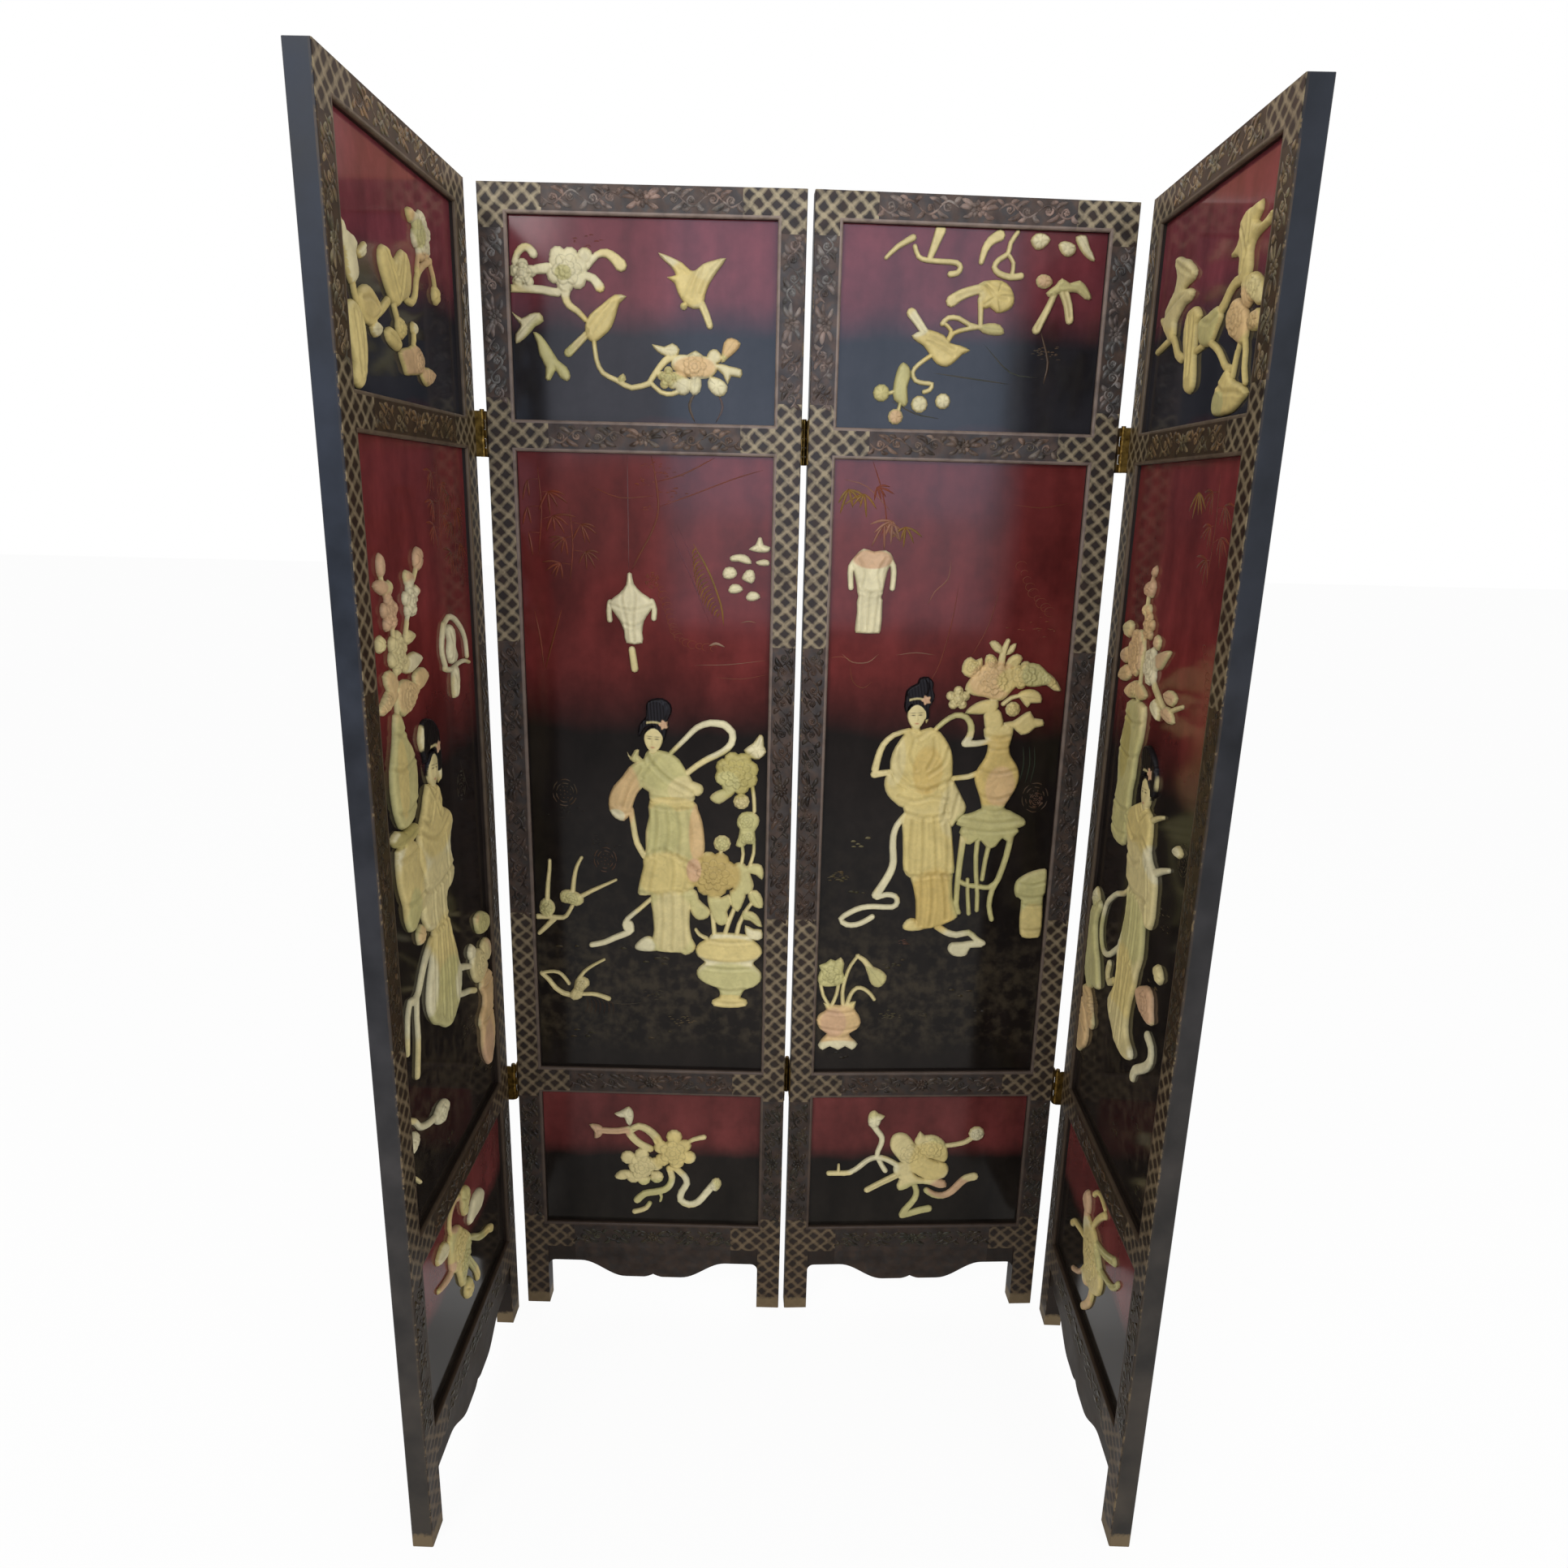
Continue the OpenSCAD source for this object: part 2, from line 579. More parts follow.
LOWER_1 = [
    ["band", 10, 10, [[166, 378], [161, 396], [169, 412], [190, 419], [207, 411]]],
    ["form", [[212, 400], [217, 415], [230, 414], [244, 405], [251, 390], [241, 379], [232, 364],
        [219, 370], [213, 386]]],
    ["form", [[104, 386], [124, 394], [141, 387], [149, 374], [138, 363], [120, 367], [106, 374]]],
    ["form", [[150, 378], [168, 385], [184, 380], [200, 369], [215, 352], [231, 336], [241, 318],
        [237, 299], [226, 285], [212, 273], [200, 261], [189, 272], [184, 290], [176, 306], [160, 316],
        [150, 334], [152, 356]]],
    ["band", 8, 16, [[104, 334], [124, 327], [144, 322], [164, 322]]],
    ["form", [[240, 350], [262, 367], [284, 367], [305, 357], [313, 342], [300, 331], [282, 329],
        [262, 333], [242, 336]]],
    ["band", 9, 14, [[226, 320], [252, 307], [270, 293], [288, 279], [308, 269], [330, 261], [346, 250]]],
    ["band", 11, 14, [[224, 296], [237, 276], [250, 257], [262, 240], [268, 222]]],
    ["form", [[204, 246], [216, 258], [230, 254], [238, 239], [241, 226], [226, 219], [211, 229]]]
];

// ---- carvings of leaf 2 -----------------------------------------------------

UPPER_2 = concat(flower(121, 1722, 30, 6), flower(58, 1716, 20, 5), flower(262, 1583, 16, 5), [
    ["band", 12, 8, [[74, 1742], [68, 1749], [60, 1750], [52, 1743], [47, 1731]]],
    ["band", 10, 12, [[41, 1697], [60, 1697], [85, 1696], [106, 1693], [116, 1702]]],
    ["band", 12, 16, [[76, 1722], [92, 1724], [106, 1722]]],
    ["disc", 108, 1741, 12],
    ["disc", 146, 1741, 11],
    ["band", 6, 17, [[149, 1726], [162, 1742], [176, 1745], [188, 1738], [196, 1730]]],
    ["band", 10, 14, [[144, 1716], [157, 1712], [166, 1701]]],
    ["band", 13, 7, [[120, 1700], [117, 1688], [122, 1677], [134, 1669], [145, 1658]]],
    // perched bird
    ["form", [[203, 1690], [187, 1692], [169, 1679], [151, 1665], [144, 1650], [146, 1635], [156, 1629],
        [170, 1638], [181, 1649], [188, 1666], [193, 1681]]],
    ["band", 9, 12, [[148, 1641], [133, 1627], [119, 1614]]],
    ["band", 6, 8, [[156, 1634], [159, 1606], [168, 1588], [187, 1579], [209, 1569], [236, 1576]]],
    ["form", [[188, 1580], [197, 1588], [201, 1580], [194, 1574]]],
    ["band", 7, 11, [[234, 1576], [245, 1592], [257, 1606], [268, 1613]]],
    ["form", [[239, 1628], [256, 1625], [268, 1630], [278, 1622], [272, 1612], [258, 1613], [247, 1618]]],
    // peony
    ["form", [[266, 1606], [276, 1615], [289, 1615], [301, 1621], [312, 1614], [327, 1611], [333, 1600],
        [325, 1587], [305, 1583], [285, 1587], [269, 1595]]],
    ["form", [[274, 1590], [271, 1572], [279, 1561], [291, 1564], [293, 1582]]],
    ["form", [[295, 1586], [291, 1572], [297, 1561], [307, 1566], [309, 1582]]],
    ["form", [[321, 1586], [319, 1572], [330, 1561], [342, 1562], [347, 1574], [336, 1584]]],
    ["form", [[326, 1602], [340, 1590], [347, 1577], [352, 1588], [365, 1586], [367, 1597], [350, 1601],
        [338, 1604]]],
    ["form", [[317, 1610], [321, 1621], [331, 1623], [339, 1612], [331, 1604]]],
    ["form", [[338, 1606], [341, 1632], [352, 1639], [365, 1632], [358, 1621], [347, 1612]]],
    ["band", 6, 7, [[236, 1577], [251, 1564], [267, 1562], [278, 1567]]],
    // flying bird
    ["form", [[249, 1747], [266, 1742], [282, 1735], [293, 1726], [301, 1726], [311, 1734], [326, 1739],
        [343, 1742], [331, 1725], [320, 1709], [314, 1694], [311, 1680], [297, 1676], [284, 1684],
        [276, 1696], [271, 1709], [261, 1716], [273, 1719], [266, 1730], [256, 1738]]],
    ["band", 11, 9, [[308, 1684], [316, 1668], [321, 1654]]],
    ["disc", 284, 1679, 5],
    // leaves
    ["form", [[41, 1666], [54, 1658], [66, 1664], [80, 1666], [85, 1655], [73, 1648], [66, 1640],
        [56, 1631], [45, 1625], [45, 1637], [53, 1648], [47, 1656]]],
    ["form", [[70, 1640], [80, 1637], [92, 1622], [104, 1604], [116, 1595], [121, 1583], [116, 1576],
        [106, 1581], [100, 1590], [92, 1577], [85, 1579], [86, 1594], [78, 1610], [75, 1626]]]
]);

MIDDLE_2 = concat(flower(367, 1000, 35, 8), flower(331, 830, 39, 8), head(236, 1052, 30), [
    // lantern
    ["form", [[199, 1306], [205, 1306], [208, 1291], [220, 1278], [238, 1265], [232, 1250], [223, 1236],
        [220, 1218], [220, 1202], [196, 1202], [193, 1220], [186, 1236], [176, 1250], [170, 1263],
        [186, 1276], [197, 1290]]],
    ["band", 8, 8, [[172, 1263], [170, 1250], [171, 1236]]],
    ["band", 8, 8, [[235, 1266], [239, 1254], [238, 1240]]],
    ["band", 10, 11, [[204, 1192], [206, 1178], [208, 1162]]],
    // clouds
    ["form", [[381, 1346], [391, 1353], [395, 1363], [400, 1363], [403, 1353], [413, 1350], [410, 1343],
        [396, 1342]]],
    ["form", [[353, 1334], [362, 1338], [375, 1338], [383, 1332], [385, 1325], [376, 1325], [366, 1328],
        [355, 1328]]],
    ["form", [[342, 1308], [346, 1318], [358, 1319], [364, 1310], [358, 1303], [347, 1302]]],
    ["form", [[371, 1304], [378, 1315], [388, 1315], [391, 1304], [386, 1296], [375, 1300]]],
    ["form", [[351, 1286], [357, 1294], [368, 1293], [373, 1286], [364, 1281], [354, 1281]]],
    ["form", [[378, 1277], [385, 1284], [395, 1282], [399, 1275], [389, 1270], [380, 1271]]],
    ["form", [[392, 1328], [404, 1332], [412, 1329], [411, 1323], [397, 1323]]],
    // figure
    ["form", [[225, 1106], [233, 1115], [250, 1117], [263, 1108], [264, 1094], [258, 1082], [257, 1066],
        [252, 1050], [246, 1062], [236, 1074], [224, 1071], [218, 1062], [214, 1054], [212, 1064],
        [216, 1078], [225, 1088]]],
    ["band", 7, 8, [[227, 1085], [238, 1090], [248, 1084], [256, 1073]]],
    ["form", [[228, 1034], [246, 1034], [262, 1030], [276, 1020], [287, 1002], [297, 986], [301, 966],
        [296, 948], [262, 943], [232, 946], [228, 966], [219, 972], [214, 990], [216, 1010], [221, 1022]]],
    ["form", [[224, 1020], [210, 1015], [197, 1006], [186, 990], [172, 974], [164, 954], [165, 934],
        [174, 921], [188, 917], [198, 930], [203, 946], [209, 962], [217, 972], [228, 984], [232, 1000]]],
    ["form", [[195, 1029], [200, 1022], [206, 1033], [213, 1034], [212, 1025], [219, 1018], [208, 1013],
        [199, 1018]]],
    ["form", [[294, 984], [304, 983], [313, 978], [314, 968], [306, 961], [296, 966]]],
    ["form", [[229, 952], [262, 950], [299, 952], [306, 938], [313, 918], [316, 895], [317, 872],
        [312, 858], [300, 846], [285, 838], [262, 840], [230, 846], [220, 852], [222, 872], [222, 900],
        [228, 926]]],
    ["form", [[219, 858], [244, 869], [262, 863], [286, 851], [301, 843], [306, 828], [301, 808],
        [290, 799], [262, 796], [232, 792], [211, 791], [209, 802], [214, 826], [218, 842]]],
    ["form", [[230, 798], [262, 800], [293, 804], [294, 780], [293, 756], [293, 736], [297, 716],
        [303, 704], [298, 693], [286, 687], [278, 691], [262, 691], [240, 693], [228, 702], [231, 716],
        [234, 730], [232, 762]]],
    ["form", [[202, 698], [206, 707], [218, 717], [229, 718], [239, 706], [244, 696], [228, 692],
        [210, 693]]],
    ["band", 9, 10, [[199, 936], [203, 906], [208, 880], [220, 858]]],
    ["band", 7, 12, [[263, 1030], [288, 1056], [304, 1072], [325, 1080], [346, 1078]]],
    ["band", 12, 9, [[346, 1078], [359, 1066], [358, 1048], [344, 1034], [323, 1023], [303, 1010],
        [284, 994]]],
    ["band", 7, 9, [[230, 785], [210, 766], [191, 749], [186, 738], [190, 730]]],
    ["band", 12, 9, [[194, 740], [196, 729], [186, 722], [170, 715], [152, 706], [131, 701]]],
    // flowering tree
    ["form", [[378, 1038], [392, 1049], [402, 1063], [408, 1059], [409, 1045], [413, 1036], [402, 1024],
        [388, 1026]]],
    ["form", [[325, 960], [334, 969], [350, 974], [364, 968], [352, 957], [340, 949], [329, 953]]],
    ["disc", 375, 954, 13],
    ["band", 6, 6, [[392, 980], [395, 960], [396, 938]]],
    ["form", [[369, 924], [376, 935], [392, 937], [403, 929], [403, 916], [397, 904], [399, 890],
        [394, 883], [384, 883], [378, 877], [367, 880], [371, 894], [373, 908], [369, 914]]],
    ["band", 5, 6, [[376, 886], [379, 866], [376, 846]]],
    ["band", 5, 6, [[396, 890], [396, 868], [390, 846]]],
    ["disc", 345, 883, 14],
    ["band", 6, 6, [[345, 874], [340, 858]]],
    ["form", [[380, 842], [396, 850], [409, 847], [413, 834], [410, 823], [400, 831], [388, 834]]],
    ["form", [[362, 846], [376, 852], [387, 842], [393, 826], [397, 812], [392, 800], [380, 796],
        [368, 800], [360, 812], [358, 830]]],
    ["form", [[290, 804], [304, 800], [308, 786], [318, 776], [327, 766], [322, 754], [308, 750],
        [298, 758], [293, 772]]],
    ["form", [[324, 804], [336, 800], [344, 790], [356, 796], [362, 782], [354, 766], [357, 750],
        [346, 741], [334, 748], [327, 766], [322, 784]]],
    ["form", [[358, 802], [372, 806], [384, 800], [381, 784], [372, 766], [361, 776]]],
    ["form", [[388, 800], [402, 804], [412, 790], [412, 774], [400, 775], [391, 784]]],
    ["form", [[380, 768], [396, 766], [406, 757], [412, 741], [402, 743], [392, 751], [379, 754]]],
    ["form", [[384, 742], [398, 736], [411, 735], [413, 721], [400, 716], [386, 724]]],
    ["band", 8, 7, [[334, 722], [332, 744], [330, 762]]],
    ["band", 8, 7, [[350, 722], [356, 744], [366, 772]]],
    ["band", 8, 6, [[370, 722], [374, 744], [386, 770], [396, 784]]],
    ["band", 7, 5, [[320, 718], [309, 724], [303, 733]]],
    // planter
    ["form", [[303, 698], [310, 710], [324, 718], [332, 728], [360, 728], [390, 725], [398, 716],
        [409, 706], [413, 694], [405, 683], [398, 676], [403, 668], [412, 658], [411, 643], [399, 632],
        [385, 627], [380, 618], [378, 612], [388, 608], [387, 597], [360, 593], [333, 596], [331, 606],
        [342, 612], [343, 622], [337, 630], [321, 636], [307, 647], [305, 660], [312, 669], [318, 676],
        [306, 686]]],
    // orchids on the ground
    ["band", 5, 8, [[66, 847], [65, 830], [62, 808], [60, 780]]],
    ["form", [[49, 776], [60, 782], [71, 772], [71, 758], [60, 748], [47, 758]]],
    ["band", 9, 6, [[43, 749], [62, 749], [85, 748], [94, 757], [103, 774]]],
    ["band", 10, 7, [[70, 746], [57, 732], [45, 720]]],
    ["band", 5, 8, [[118, 853], [110, 838], [105, 818], [102, 794]]],
    ["form", [[81, 790], [90, 797], [104, 795], [117, 787], [119, 776], [108, 769], [96, 773],
        [83, 776]]],
    ["band", 8, 4, [[112, 784], [133, 796], [153, 806], [173, 816]]],
    ["band", 5, 6, [[46, 648], [60, 651], [74, 650], [84, 641], [91, 630]]],
    ["band", 7, 9, [[46, 648], [58, 636], [68, 622], [82, 612], [100, 608]]],
    ["form", [[98, 600], [91, 610], [99, 622], [102, 636], [112, 643], [123, 639], [125, 628],
        [115, 618], [112, 605]]],
    ["band", 7, 4, [[106, 636], [117, 652], [132, 664], [151, 675]]],
    ["band", 6, 8, [[110, 611], [130, 612], [144, 609], [157, 604]]]
]);

LOWER_2 = [
    ["form", [[163, 386], [171, 390], [179, 395], [188, 400], [195, 390], [195, 376], [190, 364],
        [183, 369], [180, 379], [172, 380]]],
    ["form", [[119, 363], [131, 364], [140, 360], [142, 350], [137, 340], [127, 337], [127, 350]]],
    ["band", 10, 12, [[134, 353], [150, 352], [168, 352], [188, 356]]],
    ["band", 12, 16, [[190, 354], [204, 362], [220, 356], [234, 342], [240, 328]]],
    ["band", 13, 13, [[188, 348], [197, 336], [209, 326], [224, 318]]],
    ["disc", 209, 284, 24],
    ["disc", 185, 300, 13],
    ["disc", 209, 306, 13],
    ["disc", 194, 262, 13],
    ["disc", 212, 257, 12],
    ["disc", 235, 262, 12],
    ["disc", 234, 288, 13],
    ["disc", 264, 314, 23],
    ["disc", 266, 343, 14],
    ["disc", 243, 322, 13],
    ["disc", 245, 297, 13],
    ["disc", 270, 294, 14],
    ["disc", 291, 303, 13],
    ["disc", 284, 326, 12],
    ["band", 6, 9, [[286, 330], [300, 339], [318, 344]]],
    ["form", [[161, 262], [170, 272], [186, 274], [194, 266], [180, 256], [167, 256]]],
    ["band", 11, 13, [[257, 280], [262, 262], [258, 246], [248, 236], [230, 231], [213, 227], [200, 214]]],
    ["band", 8, 9, [[222, 208], [216, 198], [206, 193], [195, 190]]],
    ["band", 6, 4, [[240, 232], [243, 222], [241, 213]]],
    ["band", 11, 13, [[266, 282], [283, 266], [288, 250], [279, 233], [277, 216], [292, 207], [308, 213],
        [321, 230], [334, 248]]],
    ["form", [[328, 244], [333, 259], [344, 262], [349, 250], [340, 236]]]
];

// ---- carvings of leaf 3 -----------------------------------------------------

UPPER_3 = [
    ["band", 5, 9, [[102, 1749], [118, 1764], [139, 1776]]],
    ["band", 6, 8, [[142, 1765], [148, 1752], [160, 1748], [182, 1747], [202, 1746], [208, 1740],
        [204, 1733], [194, 1731]]],
    ["band", 15, 8, [[177, 1787], [171, 1770], [164, 1751]]],
    ["band", 7, 15, [[237, 1748], [241, 1764], [249, 1776], [261, 1783]]],
    ["band", 6, 9, [[286, 1788], [277, 1774], [274, 1760], [262, 1752], [256, 1742], [264, 1734],
        [280, 1730], [295, 1732]]],
    ["band", 5, 6, [[274, 1760], [283, 1748], [282, 1734]]],
    ["form", [[305, 1778], [312, 1787], [324, 1787], [333, 1780], [324, 1769], [313, 1767]]],
    ["form", [[345, 1774], [354, 1779], [369, 1774], [369, 1764], [360, 1759], [351, 1763]]],
    ["form", [[369, 1785], [383, 1787], [389, 1774], [399, 1757], [394, 1755], [382, 1763], [373, 1774]]],
    // upper bird
    ["form", [[236, 1720], [252, 1725], [268, 1725], [281, 1717], [288, 1702], [285, 1691], [276, 1685],
        [264, 1683], [254, 1690], [246, 1688], [238, 1700]]],
    ["band", 12, 16, [[240, 1714], [222, 1709], [208, 1703], [198, 1696]]],
    ["band", 9, 6, [[240, 1700], [241, 1684], [242, 1662]]],
    ["band", 7, 6, [[187, 1666], [195, 1674], [210, 1674], [226, 1666], [246, 1662]]],
    ["band", 5, 6, [[189, 1667], [200, 1658], [197, 1646]]],
    ["band", 6, 6, [[196, 1642], [204, 1654], [222, 1660], [244, 1664]]],
    ["form", [[240, 1664], [254, 1669], [270, 1667], [277, 1656], [264, 1653], [246, 1656]]],
    // leaves
    ["form", [[317, 1728], [324, 1735], [336, 1733], [341, 1724], [332, 1717], [321, 1719]]],
    ["form", [[333, 1711], [346, 1722], [354, 1731], [366, 1725], [380, 1729], [392, 1719], [399, 1706],
        [390, 1705], [378, 1713], [366, 1713], [352, 1711], [342, 1705]]],
    ["band", 8, 12, [[346, 1712], [337, 1690], [328, 1672], [323, 1662]]],
    ["band", 14, 11, [[358, 1714], [366, 1696], [370, 1676]]],
    // lower bird
    ["form", [[144, 1649], [160, 1657], [172, 1657], [190, 1651], [200, 1641], [214, 1638], [229, 1632],
        [218, 1626], [208, 1616], [196, 1609], [182, 1613], [172, 1624], [162, 1636], [153, 1641]]],
    ["band", 10, 14, [[166, 1650], [153, 1666], [142, 1679]]],
    ["band", 6, 6, [[174, 1624], [156, 1611], [148, 1600], [153, 1589], [166, 1586], [177, 1585],
        [174, 1577], [166, 1574]]],
    ["form", [[127, 1606], [134, 1613], [143, 1606], [145, 1594], [141, 1580], [143, 1560], [138, 1553],
        [132, 1557], [123, 1562], [121, 1576], [123, 1592]]],
    ["disc", 104, 1571, 12],
    ["disc", 160, 1557, 12],
    ["disc", 194, 1562, 11],
    ["disc", 126, 1539, 11],
    ["band", 5, 5, [[116, 1571], [124, 1574]]],
    ["band", 5, 5, [[130, 1547], [132, 1558]]]
];

MIDDLE_3 = concat(flower(300, 1154, 30, 7), flower(246, 1126, 19, 5), flower(346, 1164, 22, 6),
    head(182, 1098, 30), [
    // lantern
    ["form", [[76, 1340], [88, 1351], [104, 1347], [122, 1349], [133, 1338], [125, 1318], [121, 1296],
        [117, 1278], [100, 1274], [84, 1278], [80, 1296], [75, 1316], [70, 1328]]],
    ["form", [[84, 1284], [116, 1284], [120, 1262], [119, 1229], [112, 1225], [86, 1225], [80, 1229],
        [82, 1256]]],
    ["band", 9, 8, [[80, 1338], [70, 1324], [70, 1306], [71, 1293]]],
    ["band", 9, 8, [[124, 1342], [134, 1326], [135, 1306], [134, 1293]]],
    // flowers in the vase
    ["form", [[256, 1140], [262, 1156], [272, 1168], [286, 1178], [300, 1182], [318, 1177], [336, 1177],
        [352, 1183], [370, 1181], [384, 1169], [396, 1160], [408, 1141], [396, 1141], [384, 1149],
        [372, 1147], [358, 1146], [342, 1149], [330, 1139], [322, 1129], [312, 1123], [300, 1125],
        [286, 1129], [270, 1131]]],
    ["form", [[289, 1213], [298, 1217], [308, 1209], [311, 1197], [299, 1200]]],
    ["form", [[331, 1213], [322, 1209], [317, 1195], [328, 1200]]],
    ["band", 7, 12, [[318, 1217], [312, 1200], [310, 1180]]],
    ["form", [[284, 1182], [286, 1194], [296, 1195], [305, 1184], [300, 1170], [287, 1173]]],
    ["form", [[317, 1174], [321, 1190], [334, 1197], [343, 1190], [334, 1176]]],
    ["form", [[249, 1168], [252, 1185], [262, 1191], [270, 1186], [279, 1190], [281, 1178], [276, 1163],
        [261, 1159]]],
    ["form", [[259, 1103], [268, 1114], [282, 1122], [298, 1125], [310, 1122], [308, 1106], [290, 1102],
        [273, 1101]]],
    ["form", [[290, 1106], [306, 1110], [316, 1104], [320, 1078], [296, 1076], [290, 1090]]],
    ["form", [[340, 1134], [352, 1141], [366, 1141], [377, 1133], [378, 1121], [362, 1120], [357, 1113],
        [348, 1122]]],
    ["disc", 334, 1110, 12],
    ["band", 6, 7, [[346, 1132], [330, 1128], [318, 1118]]],
    ["form", [[321, 1088], [336, 1091], [350, 1101], [362, 1107], [369, 1096], [383, 1094], [385, 1084],
        [372, 1081], [364, 1073], [350, 1069], [338, 1079], [325, 1081]]],
    // vase
    ["form", [[294, 1084], [332, 1084], [337, 1070], [333, 1050], [337, 1034], [347, 1020], [353, 1002],
        [349, 982], [339, 962], [333, 950], [338, 940], [300, 940], [296, 950], [292, 966], [284, 986],
        [281, 1002], [288, 1018], [296, 1032], [299, 1050], [292, 1066]]],
    // stand
    ["form", [[257, 920], [262, 935], [274, 938], [286, 942], [300, 948], [336, 946], [350, 940],
        [366, 931], [370, 921], [356, 914], [330, 911], [300, 911], [276, 914]]],
    ["form", [[267, 920], [356, 918], [353, 900], [347, 888], [334, 897], [324, 883], [312, 880],
        [304, 887], [294, 895], [282, 886], [271, 892]]],
    ["band", 11, 8, [[270, 900], [268, 870], [266, 830], [266, 784], [271, 768]]],
    ["band", 10, 8, [[348, 900], [343, 866], [333, 828], [324, 808], [321, 780], [327, 756]]],
    ["band", 8, 7, [[294, 896], [293, 866], [296, 830], [300, 800], [301, 772]]],
    ["band", 8, 7, [[314, 890], [309, 860], [306, 826]]],
    ["band", 6, 7, [[282, 826], [284, 800], [288, 766]]],
    ["band", 8, 8, [[268, 823], [282, 816], [300, 814], [318, 812], [332, 824]]],
    // figure
    ["form", [[163, 1122], [164, 1136], [172, 1144], [181, 1149], [184, 1157], [197, 1159], [206, 1150],
        [205, 1140], [209, 1130], [206, 1118], [201, 1110], [202, 1096], [198, 1086], [192, 1104],
        [180, 1117], [170, 1113], [166, 1102], [162, 1112]]],
    ["form", [[172, 1076], [186, 1073], [206, 1079], [222, 1071], [236, 1052], [243, 1034], [245, 1012],
        [243, 994], [226, 982], [200, 973], [176, 975], [155, 989], [145, 1012], [147, 1036],
        [158, 1058]]],
    ["band", 7, 12, [[172, 1074], [148, 1066], [132, 1050], [125, 1030], [121, 1010]]],
    ["band", 12, 8, [[120, 1002], [134, 1004], [152, 1007]]],
    ["form", [[148, 1008], [154, 992], [168, 980], [188, 974], [184, 958], [168, 948], [156, 955],
        [143, 968], [137, 984], [139, 1000]]],
    ["disc", 216, 980, 9],
    ["disc", 163, 992, 10],
    ["form", [[166, 980], [196, 978], [226, 980], [240, 988], [240, 966], [238, 944], [238, 930],
        [206, 928], [178, 930], [170, 944], [166, 960]]],
    ["form", [[222, 986], [243, 998], [253, 984], [263, 966], [271, 950], [267, 937], [256, 925],
        [250, 916], [241, 930], [237, 950], [227, 964]]],
    ["form", [[171, 936], [206, 940], [240, 936], [249, 916], [253, 890], [257, 860], [259, 838],
        [250, 835], [226, 835], [200, 831], [186, 829], [175, 842], [173, 870], [171, 900]]],
    ["form", [[188, 838], [222, 842], [253, 844], [257, 820], [259, 796], [267, 772], [269, 760],
        [256, 751], [236, 743], [216, 739], [200, 741], [200, 760], [198, 790], [193, 812]]],
    ["form", [[179, 744], [186, 755], [198, 757], [207, 746], [214, 738], [196, 735], [183, 737]]],
    ["band", 7, 12, [[212, 1074], [226, 1088], [244, 1099], [261, 1096], [270, 1082], [269, 1066],
        [262, 1054]]],
    ["band", 12, 8, [[262, 1054], [280, 1054], [298, 1057]]],
    ["band", 8, 9, [[240, 996], [258, 998], [272, 1000], [286, 1006]]],
    ["band", 9, 14, [[174, 936], [161, 918], [156, 900], [156, 880], [158, 856], [154, 838], [144, 818],
        [132, 798]]],
    ["band", 9, 9, [[134, 794], [150, 799], [164, 796], [168, 786], [160, 777], [130, 778], [110, 776],
        [92, 768], [76, 756], [86, 746], [102, 746], [116, 752], [128, 760]]],
    ["band", 12, 9, [[236, 744], [252, 733], [270, 728], [290, 732], [302, 722], [316, 713]]],
    ["form", [[257, 706], [263, 714], [280, 715], [300, 718], [319, 715], [313, 706], [295, 705],
        [290, 693], [280, 689], [267, 691], [259, 698]]],
    // garden seat
    ["form", [[361, 808], [363, 823], [374, 833], [390, 841], [409, 845], [413, 836], [413, 804],
        [410, 796], [412, 760], [411, 728], [402, 723], [386, 723], [377, 730], [374, 760], [374, 790],
        [365, 796]]],
    // flowers in the small pot
    ["form", [[41, 574], [48, 585], [58, 592], [53, 604], [66, 602], [80, 600], [94, 604], [107, 607],
        [105, 594], [113, 582], [117, 568], [111, 556], [98, 548], [104, 538], [113, 528], [104, 517],
        [92, 524], [80, 517], [66, 524], [54, 517], [46, 526], [54, 540], [60, 548], [48, 557]]],
    ["form", [[44, 640], [41, 652], [46, 664], [43, 673], [54, 677], [62, 684], [70, 681], [79, 687],
        [85, 676], [83, 662], [87, 648], [80, 639], [66, 635], [54, 635]]],
    ["band", 6, 6, [[66, 598], [74, 620], [77, 642]]],
    ["band", 7, 5, [[86, 598], [84, 624], [88, 650], [96, 673], [108, 691]]],
    ["band", 6, 12, [[106, 690], [118, 682], [130, 666]]],
    ["form", [[119, 677], [132, 671], [146, 665], [157, 654], [154, 641], [144, 633], [132, 639],
        [126, 654]]],
    ["band", 7, 6, [[92, 600], [98, 620], [108, 632], [120, 630], [131, 621], [138, 611]]],
    ["band", 6, 6, [[62, 600], [52, 618], [47, 638]]]
]);

